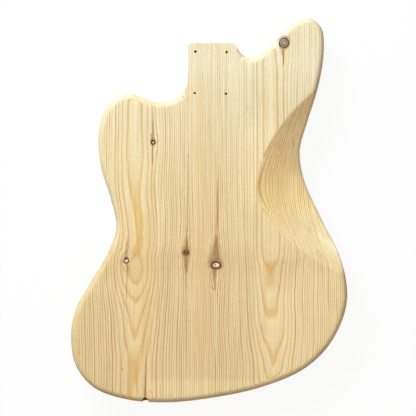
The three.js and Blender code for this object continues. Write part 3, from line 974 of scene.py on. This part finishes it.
# The wood in the belly scoop, with painted shade and painted light on it. Ranges run down the length, and
# reaches start at the scoop's crest.
scoopToneAndPaintedLight = {
    # where it begins past the crest, and how far off the scoop's surface it fades
    "crestRange": (-1, 1.5),
    "surfaceRange": (5, 2),
    # painted shade: darker and more golden from the middle towards the neck, and browner at the neck end,
    # where the scoop slopes away from the lamp; painted light: a pale tail end
    "gold": (1.01, 0.955, 0.775, 1),
    "goldRange": (20, 70),
    "brown": (0.93, 0.87, 0.9, 1),
    "brownRange": (70, 130),
    "pale": colour(238, 226, 184),
    "paintedPaleRange": (35, 5),
    "paintedPaleReach": (15, 40),
    "paintedPaleShare": 0.5,
    # lines are weaker at a board's centre line but stronger by the crest and by the outline
    "centreFade": 0.55,
    "lines": 0.5,
    "innerReach": (30, 12),
    "outerReach": (32, 44),
    "outerRange": (60, 20),
    # painted light, and how much it lightens the wood: towards the tail, towards the neck and by the outline
    "tailLightRange": (90, 30),
    "tailPaintedLight": 0.11,
    "neckLightRange": (30, 60),
    "neckPaintedLight": 0.035,
    "rimRange": (112, 92),
    "rimLightReach": (34, 46),
    "rimPaintedLight": 0.19,
}
# Dark or tinted streaks along the grain: from and to in the straight view's pixels, half width at either end
# in millimetres, tone, strength
streaks = [
    # horn, bass side
    ((283.4, 46), (283.2, 68), 4, 0.4, "rose", 0.6),
    ((283.7, 48), (283.4, 67), 1.3, 0.4, "brown", 0.75),
    ((289, 29), (289.4, 42), 0.6, 1.8, "orange", 0.4),
    ((286.2, 46), (285.8, 78), 3.6, 2.2, "honey", 0.75),
    # horn, treble side
    ((153.6, 103), (153.2, 143), 1.2, 2.2, "rose", 0.55),
    ((153.4, 118), (153, 146), 0.6, 3.6, "umber", 0.5),
    ((152.8, 141), (152.2, 176), 1.6, 0.5, "umber", 0.8),
    ((152.4, 160), (152, 262), 0.8, 0.8, "orange", 0.35),
    # treble waist
    ((127.3, 238), (126.2, 263), 0.4, 4.2, "umber", 0.6),
    ((126.6, 260), (128.2, 273), 3, 0.7, "rust", 0.8),
    ((127.6, 268), (126.2, 304), 1, 0.6, "rust", 0.6),
    ((139.4, 238), (134.4, 256), 2.4, 9.6, "orange", 0.5),
    ((122, 255), (121.6, 265), 0.5, 0.5, "umber", 0.7),
    ((121.4, 263), (124.6, 270), 0.6, 0.6, "brown", 0.6),
    ((124.2, 269), (127.6, 273), 0.9, 0.8, "brown", 0.6),
    # faint darker stretches beside the glue line and the treble arches
    ((202, 74), (205, 380), 11, 11, "orange", 0.17),
    ((146, 208), (147, 362), 7, 8, "orange", 0.15),
    ((286, 258), (276, 292), 26, 22, "umber", 0.13),
    ((270.5, 262), (269.5, 288), 11, 6, "orange", 0.4),
    # bridge, treble side
    ((188.2, 150), (186.9, 252), 0.5, 0.9, "brown", 0.5),
    ((187, 235), (186.2, 258), 0.6, 5.6, "umber", 0.75),
    ((186.1, 246), (186.2, 276), 7.6, 0.8, "umber", 0.7),
    ((186.2, 258), (186.2, 292), 2.4, 0.4, "umber", 0.5),
    ((187.1, 226), (186.7, 256), 0.4, 1.3, "brown", 0.35),
    ((186.3, 262), (186.4, 345), 0.8, 0.4, "umber", 0.5),
    ((191.3, 244), (192.4, 261), 0.6, 0.8, "honey", 0.7),
    ((192.4, 258), (188.4, 276), 0.8, 1, "honey", 0.8),
    ((188.5, 272), (188, 298), 1, 0.6, "honey", 0.5),
    # bridge, bass side
    ((218.2, 178), (216.2, 262), 0.9, 3.2, "orange", 0.7),
    ((218, 178), (217.3, 232), 0.7, 1, "umber", 0.7),
    ((214.8, 204), (216, 248), 0.5, 1, "umber", 0.35),
    ((216.6, 234), (214.4, 268), 1.8, 14, "umber", 0.5),
    ((216.6, 238), (215.8, 264), 2, 7.6, "umber", 0.6),
    ((217.2, 250), (216.8, 263), 1.4, 3.2, "grey", 0.4),
    ((214.8, 258), (214.4, 279), 11, 0.8, "umber", 0.5),
    ((214.8, 264), (214.8, 292), 3.3, 0.8, "umber", 0.8),
    ((214.8, 272), (214.8, 293), 1.6, 1, "orange", 0.4),
    ((211.6, 232), (207.4, 250), 0.5, 0.9, "honey", 0.7),
    ((207.2, 246), (208.4, 258), 0.9, 0.6, "honey", 0.7),
    # innermost stretch of the belly scoop
    ((259.6, 160), (260.2, 206), 2.4, 4, "orange", 0.24),
    # tail
    ((144.8, 404), (146.2, 350), 1.5, 0.3, "brown", 0.85),
    ((143.4, 404), (147.4, 332), 2, 1.6, "orange", 0.35),
    ((144.8, 328), (142.2, 358), 1.8, 1.6, "orange", 0.6),
    ((142.3, 354), (139.4, 376), 1.6, 1.2, "orange", 0.5),
    ((134, 350), (133.6, 402), 8.6, 7, "orange", 0.28),
    ((134, 359), (133.6, 400), 7.6, 7.2, "orange", 0.34),
    ((135, 382), (135, 401), 0.4, 6.4, "honey", 0.8),
    ((148.2, 399), (150.4, 388), 0.7, 0.7, "orange", 0.6),
    ((150.2, 388), (153.6, 399), 0.7, 0.7, "orange", 0.6),
    # specks
    ((293.4, 139.5), (293.8, 145), 0.6, 0.6, "brown", 0.6),
    ((122.2, 368.6), (123, 366.4), 1.1, 0.8, "brown", 0.9),
    ((247.7, 107.4), (247.7, 109), 0.6, 0.6, "brown", 0.6),
]
streakTones = {
    "brown": colour(120, 84, 50),
    "umber": colour(158, 118, 64),
    "rust": colour(176, 116, 60),
    "amber": colour(206, 154, 84),
    "orange": colour(221, 170, 98),
    "honey": colour(241, 214, 150),
    "rose": colour(196, 152, 112),
    "grey": colour(160, 134, 112),
}


# Streaks and stains: how deep in the wood they fade, how ragged their sides and ends are, and how the fibres
# show through them
marks = {
    "depthRange": (22, 12),
    "ragged": 1.3,
    "toothed": 14,
    "fibreRange": (0.2, 0.55),
    "fibre": 0.45,
    "least": 0.6,
    # over which shares of its half width and its length a streak fades, and over which turn a stain does
    "sideRange": (1.1, 0.3),
    "startRange": (-0.02, 0.06),
    "endRange": (1.02, 0.85),
    "facingRange": (0.1, 0.9),
}


# A streak is full within its half width, which changes evenly from one end to the other, and fades at both
def streakMask(x, y, toothed, start, end, startHalf, endHalf):
    path = (y - start[1]) / (end[1] - start[1])
    along = (toothed - start[1]) / (end[1] - start[1])
    aside = (x - start[0] - path * (end[0] - start[0])).math("ABSOLUTE")
    half = along * (endHalf - startHalf) + startHalf
    ends = along.ramp(*marks["startRange"]), along.ramp(*marks["endRange"])
    return (aside / half).ramp(*marks["sideRange"]) * ends[0] * ends[1]


# A stain lies beside a knot's edge, in one direction from its middle
def stainMask(dx, dy, radial, towards, reach):
    turn = np.radians(towards)
    facing = ((dx * np.cos(turn) + dy * np.sin(turn)) / radial).ramp(*marks["facingRange"])
    return radial.ramp(1 + reach, 1) * facing


# The fibres wander slowly across the board, and part and ripple round each knot
def partFibres(wood):
    bent = wood.x + (wood.noise(*noises["wander"]) - 0.5) * pine["wander"]
    bent = bent + (wood.noise(*noises["sway"]) - 0.5) * pine["sway"]
    ripple = wood.noise(*noises["ripple"]) - 0.5
    for parted in (*knots.values(), barkPocket):
        placeX, placeY = placeOf(parted)
        reach = parted["bend"] ** 2
        dx, dy = wood.x - placeX, (wood.y - placeY) / pine["stretch"]
        away = dx * dx + dy * dy
        near = away.ramp(reach * pine["rippleReach"] ** 2, reach)
        bent = bent - dx * reach / (away + reach) + ripple * near * pine["ripple"]
    return bent


# How far a place lies past the belly scoop's crest, and whether it lies on the scoop's own surface, and not
# on the walls beside it
def scoopFields(x, y, depth):
    run = y - bellyScoop["crestY"]
    longer = bellyScoop["neckReach"] - bellyScoop["tailReach"]
    reach = run.math("GREATER_THAN", 0) * longer + bellyScoop["tailReach"]
    past = x - (run / reach).squared() * bellyScoop["spread"] - bellyScoop["crestX"]
    begun = past.ramp(*scoopToneAndPaintedLight["crestRange"])
    off = (depth - past * bellyScoop["slope"]).math("ABSOLUTE")
    return past, begun * off.ramp(*scoopToneAndPaintedLight["surfaceRange"])


# The rings are cylinders about a pith above the back, so a ring's number grows with the distance from it, and
# each ring is a little wider than the one inside it. The curves down the length raise the number along the
# centre lines, which closes the arches. Gives the number, the distance from the centre line, and the side.
def countRings(wood, bent, depth, fibre):
    y = wood.y
    bassSide = bent.math("GREATER_THAN", body["glueLineX"])
    base = bassSide * (pine["pithX"][1] - pine["pithX"][0]) + pine["pithX"][0]
    leftSway, rightSway = y.curve(pine["trebleSway"]), y.curve(pine["bassSway"])
    leftRing, rightRing = y.curve(pine["trebleRings"]), y.curve(pine["bassRings"])
    nearCentre = ((bent - base) / pine["archReach"]).squared() + 1
    aside = bent - base - (leftSway + (rightSway - leftSway) * bassSide) / nearCentre
    down = depth + pine["pithHeight"]
    outwards = (aside * aside + down * down).math("SQRT") - pine["pithHeight"]
    growth = pine["ringGrowth"]
    ring = (outwards * (growth / pine["ringWidth"]) + 1).math("LOGARITHM", np.exp(growth))
    ring = ring + (leftRing + (rightRing - leftRing) * bassSide) / nearCentre
    far = aside.math("ABSOLUTE")
    place = (ring / pine["jitterRings"], bassSide * pine["boardNoise"], ring * 0)
    jitter = (wood.noise(*noises["jitter"], place) - 0.5) * far.ramp(*pine["jitterRange"])
    point = (far / pine["pointReach"]).math("MINIMUM", 1) * pine["pointRings"]
    flat = point + far.ramp(0, pine["roundReach"]) * pine["roundRings"]
    tip = (point - flat * bassSide * y.ramp(*pine["roundRange"])) * y.ramp(*pine["tipRange"])
    ring = ring + jitter * pine["jitter"] + tip
    ring = ring + (fibre - 0.5) * far.ramp(*pine["frayRange"]) * pine["fray"]
    return ring, far, bassSide


# The boards' wood, from its lines and tones to the streaks and stains on it
def makePine():
    wood = Finish("pine", pine["roughness"], pine["specular"])
    x, y, z = wood.x, wood.y, wood.z
    depth = z * -1 + body["thickness"]
    bent = partFibres(wood)
    past, scooped = scoopFields(x, y, depth)
    grain = (bent, y, z)
    fibre = wood.noise(*noises["fibre"], grain)
    ring, far, bassSide = countRings(wood, bent, depth, fibre)
    # late wood darkens the end of each ring, more in some rings and patches than in others
    whole = ring.math("FLOOR")
    part = ring - whole
    chance = wood.chance(whole + bassSide * pine["boardRings"])
    chance = chance.math("MAXIMUM", far.ramp(*pine["strongReach"]) * lateWood["centreLeast"])
    patchy = wood.noise(*noises["patches"]).ramp(*lateWood["patchRange"]).atLeast(lateWood["patchLeast"])
    rise = far.ramp(*pine["softReach"]) * lateWood["centreRise"] + lateWood["rise"]
    late = part.ramp(rise, lateWood["full"]) * part.ramp(*lateWood["endRange"])
    late = late * chance.atLeast(lateWood["least"]) * patchy
    flecked = wood.noise(*noises["flecks"], grain).ramp(*goldBand["fleckRange"]).atLeast(goldBand["least"])
    centre = far.ramp(*pine["centreReach"])
    warmth = part.ramp(*goldBand["riseRange"]) * part.ramp(*goldBand["endRange"]) * centre * flecked
    # tones down the length, the lines on them, and the belly scoop's tones with painted shade and painted
    # light
    share = y.curve(pine["toneRun"])
    pale = wood.blend(share, pine["paleTop"], pine["paleTail"])
    dark = wood.blend(share, pine["lateTop"], pine["lateTail"])
    dark = wood.blend(far.ramp(*pine["brownReach"]), dark, pine["lateCentre"])
    lines = late * (centre * (scooped - 1) * scoopToneAndPaintedLight["centreFade"] + 1)
    outer = past.ramp(*scoopToneAndPaintedLight["outerReach"]) * y.ramp(*scoopToneAndPaintedLight["outerRange"])
    bold = past.ramp(*scoopToneAndPaintedLight["innerReach"]) + outer
    lines = lines * (scooped * bold * scoopToneAndPaintedLight["lines"] + 1)
    tint = wood.blend(lines, pale, dark)
    tint = wood.blend(warmth, tint, pine["gold"])
    # painted shade in the belly scoop: darker and more golden from the middle towards the neck, and browner
    # at the neck end
    for tone in ("gold", "brown"):
        mask = scooped * y.ramp(*scoopToneAndPaintedLight[tone + "Range"])
        tint = wood.blend(mask, tint, wood.multiply(tint, scoopToneAndPaintedLight[tone]))
    # painted light in the belly scoop: its tail end, which faces the lamp, is painted paler
    mask = scooped * y.ramp(*scoopToneAndPaintedLight["paintedPaleRange"]) * past.ramp(*scoopToneAndPaintedLight["paintedPaleReach"])
    tint = wood.blend(mask * scoopToneAndPaintedLight["paintedPaleShare"], tint, scoopToneAndPaintedLight["pale"])
    # light and dark: fibres, threads, clouds and grit, painted light in the belly scoop, then the broad
    # shades
    cloud = wood.noise(*noises["cloud"])
    grit = wood.noise(*noises["grit"], grain)
    threads = wood.noise(*noises["threads"], grain)
    level = fibre * levels["fibre"] + threads * levels["threads"] + cloud * levels["cloud"]
    level = level + grit * levels["grit"] - part * levels["ring"] + levels["plain"]
    # painted light in the belly scoop: lighter towards the tail and the neck, and by the outline
    tail = y.ramp(*scoopToneAndPaintedLight["tailLightRange"]) * scoopToneAndPaintedLight["tailPaintedLight"]
    neck = y.ramp(*scoopToneAndPaintedLight["neckLightRange"]) * scoopToneAndPaintedLight["neckPaintedLight"]
    level = level + scooped * (tail + neck)
    rim = past.ramp(*scoopToneAndPaintedLight["rimLightReach"]) * y.ramp(*scoopToneAndPaintedLight["rimRange"])
    level = level + scooped * rim * scoopToneAndPaintedLight["rimPaintedLight"]
    for acrossRange, downRange, amount in pine["shades"]:
        level = level + x.ramp(*acrossRange) * y.ramp(*downRange) * amount
    start, end, amount = pine["middleShade"]
    level = level + y.ramp(*start) * y.ramp(*end) * amount
    tint = wood.brighten(tint, level, pine["shadeShares"])
    # streaks, and the stains beside the knots
    ragged = x + (wood.noise(*noises["ragged"]) - 0.5) * marks["ragged"]
    toothed = y + (wood.noise(*noises["toothed"]) - 0.5) * marks["toothed"]
    shade = fibre.ramp(*marks["fibreRange"]) * marks["fibre"] + marks["least"]
    for start, end, startHalf, endHalf, tone, strength in streaks:
        mask = streakMask(ragged, y, toothed, fromView(*start), fromView(*end), startHalf, endHalf)
        mask = mask * (depth.ramp(*marks["depthRange"]) * strength)
        tint = wood.blend(mask * shade, tint, streakTones[tone])
    for knot in knots.values():
        placeX, placeY = placeOf(knot)
        dx, dy = (ragged - placeX) / knot["ring"][0], (y - placeY) / knot["ring"][1]
        radial = (dx * dx + dy * dy).math("SQRT")
        for towards, reach, tone, strength in knot["stains"]:
            mask = stainMask(dx, dy, radial, towards, reach) * (depth.ramp(*marks["depthRange"]) * strength)
            tint = wood.blend(mask * shade, tint, streakTones[tone])
    return wood.paint(tint, fibre + late * lateWood["bump"], pine["bumpStrength"], pine["bumpDistance"])


branchWood = {
    "roughness": 0.6,
    "specular": 0.3,
    "bumpStrength": 0.3,
    "bumpDistance": 0.15,
    "specks": ((0.9, 0.9, 2), 3),
    # how far the specks push a face about and turn its rings, and their share of the rings' light and dark
    "push": 0.9,
    "turn": 5,
    "speckShare": 0.5,
    "ringRange": (0.25, 0.75),
    "rimRange": (0.78, 1),
    # a spot or fleck fades over these shares of its radius squared
    "markRange": (1.6, 0.4),
}


# A knot's face: rings about its middle, a darker rim, one pale spot and one fleck
def makeBranchWood(name, knot):
    wood = Finish("branch_" + name, branchWood["roughness"], branchWood["specular"])
    placeX, placeY = placeOf(knot)
    face = knot["face"]
    light, dark, rim = (colour(*face[key]) for key in ("light", "dark", "rim"))
    speck = wood.noise(*branchWood["specks"])
    dx, dy = wood.x - placeX + (speck - 0.5) * branchWood["push"], wood.y - placeY
    halfX, halfY = knot["core"]
    radial = ((dx / halfX).squared() + (dy / halfY).squared()).math("SQRT")
    waves = (radial * (2 * np.pi * face["rings"]) + speck * branchWood["turn"]).math("SINE")
    half = (1 - branchWood["speckShare"]) / 2
    rings = waves * half + half + speck * branchWood["speckShare"]
    tint = wood.blend(rings.ramp(*branchWood["ringRange"]), dark, light)
    tint = wood.blend(radial.ramp(*branchWood["rimRange"]), tint, rim)
    for mark in (knot["spot"], knot["fleck"]):
        away = (dx - mark["place"][0]).squared() + (dy - mark["place"][1]).squared()
        outer, inner = (share * mark["radius"] ** 2 for share in branchWood["markRange"])
        tint = wood.blend(away.ramp(outer, inner), tint, colour(*mark["tone"]))
    return wood.paint(tint, speck + rings, branchWood["bumpStrength"], branchWood["bumpDistance"])


barkFinish = {
    "roughness": 0.85,
    "specular": 0.2,
    "dark": colour(62, 46, 36),
    "light": colour(128, 100, 76),
    "specks": ((0.6, 0.6, 1.5), 3),
    "speckRange": (0.35, 0.65),
    "bumpStrength": 0.5,
    "bumpDistance": 0.3,
}


def makeBarkCrust():
    crust = Finish("bark", barkFinish["roughness"], barkFinish["specular"])
    speck = crust.noise(*barkFinish["specks"])
    tint = crust.blend(speck.ramp(*barkFinish["speckRange"]), barkFinish["dark"], barkFinish["light"])
    return crust.paint(tint, speck, barkFinish["bumpStrength"], barkFinish["bumpDistance"])


def dress(piece, material, slot, *nodes):
    piece.data.materials.clear()
    piece.data.materials.append(material)
    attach(piece, "root")
    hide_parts(*nodes)


pineWood = makePine()
barkCrust = makeBarkCrust()
for board, node in ((boardTreble, "board_treble"), (boardBass, "board_bass")):
    shadeSmooth(board, body["smoothAngle"])
    dress(board, pineWood, "pine", node)
for name, knot in knots.items():
    dress(cores[name], makeBranchWood(name, knot), "branch_wood", "knot_core_" + name)
    dress(barks[name], barkCrust, "bark", "knot_bark_" + name)
dress(barkInNotch, barkCrust, "bark", "bark_pocket_tail")
print("materials on")


studio = {
    "centre": (-4, 57.9),
    "viewWidth": 507.5,
    "viewHeight": 41,
    "lens": 120,
    "sensor": 36,
    "keyFrom": (-0.55, 0.95, 0.75),
    "keyDistance": 2600,
    "keySize": 1400,
    "keyShare": 1.1,
    "keyTint": (0.95, 1.03, 1.18),
    "ambient": 0.4,
    "ambientTint": (1.08, 0.95, 0.74),
    "floorSize": 6000,
    "floorGlow": 0.92,
    # how pale the floor's paper is to the camera and to other light
    "floorPaper": (0.93, 0.25),
    # what lies within a reach covers the floor, over a range of shares: under the object, and beside it
    "covers": [(22, 0.22, 0.5), (9, 0.58, 0.72)],
}


def makeCamera():
    camera = bpy.data.cameras.new("camera")
    camera.lens, camera.sensor_width = studio["lens"], studio["sensor"]
    camera.clip_end = 100
    place = bpy.data.objects.new("camera", camera)
    distance = studio["viewWidth"] * studio["lens"] / studio["sensor"]
    place.location = np.array([*studio["centre"], studio["viewHeight"] + distance]) * metre
    bpy.context.scene.collection.objects.link(place)
    bpy.context.scene.camera = place


# The key lamp gives its share of a plain level: power is share x pi squared x distance squared
def makeLight():
    lamp = bpy.data.lights.new("key", "AREA")
    lamp.shape, lamp.size = "DISK", studio["keySize"] * metre
    lamp.color = studio["keyTint"]
    lamp.energy = studio["keyShare"] * (np.pi * studio["keyDistance"] * metre) ** 2
    towards = Vector(studio["keyFrom"]).normalized()
    place = bpy.data.objects.new("key", lamp)
    place.location = towards * studio["keyDistance"] * metre
    place.rotation_euler = towards.to_track_quat("Z", "Y").to_euler()
    bpy.context.scene.collection.objects.link(place)
    world = bpy.data.worlds.new("studio")
    bpy.context.scene.world = world
    world.use_nodes = True
    tree = world.node_tree
    background = tree.nodes["Background"]
    path = tree.nodes.new("ShaderNodeLightPath")
    seen = Field(tree, path.outputs["Is Camera Ray"])
    for output in ("Is Glossy Ray", "Is Transmission Ray"):
        seen = seen.math("MAXIMUM", Field(tree, path.outputs[output]))
    soft = (*(studio["ambient"] * part for part in studio["ambientTint"]), 1)
    shown = mixColours(tree, seen, soft, (1, 1, 1, 1))
    tree.links.new(shown, background.inputs["Color"])


# A pale floor that shows white where it is lit and keeps a soft shadow
def makeFloor():
    half = studio["floorSize"] / 2
    corners = [(-half, -half, 0), (half, -half, 0), (half, half, 0), (-half, half, 0)]
    floor = makePiece("floor", corners, [(0, 1, 2, 3)])
    material = bpy.data.materials.new("floor")
    material.use_nodes = True
    tree = material.node_tree
    tree.nodes.clear()
    output = tree.nodes.new("ShaderNodeOutputMaterial")
    paper = tree.nodes.new("ShaderNodeBsdfDiffuse")
    glow = tree.nodes.new("ShaderNodeEmission")
    path = tree.nodes.new("ShaderNodeLightPath")
    mixer = tree.nodes.new("ShaderNodeMixShader")
    seen = Field(tree, path.outputs["Is Camera Ray"])
    # the floor glows only where it lies open, so it stays dark under the object
    share = seen * studio["floorGlow"]
    for reach, low, high in studio["covers"]:
        cover = tree.nodes.new("ShaderNodeAmbientOcclusion")
        cover.inputs["Distance"].default_value = reach * metre
        share = share * Field(tree, cover.outputs["AO"]).ramp(low, high)
    shown, hidden = studio["floorPaper"]
    feed(tree, paper.inputs["Color"], seen * (shown - hidden) + hidden)
    feed(tree, mixer.inputs[0], share)
    tree.links.new(paper.outputs[0], mixer.inputs[1])
    tree.links.new(glow.outputs[0], mixer.inputs[2])
    tree.links.new(mixer.outputs[0], output.inputs["Surface"])
    floor.data.materials.append(material)


makeCamera()
makeLight()
makeFloor()
bpy.context.scene.view_settings.view_transform = "Standard"
print("studio ready")
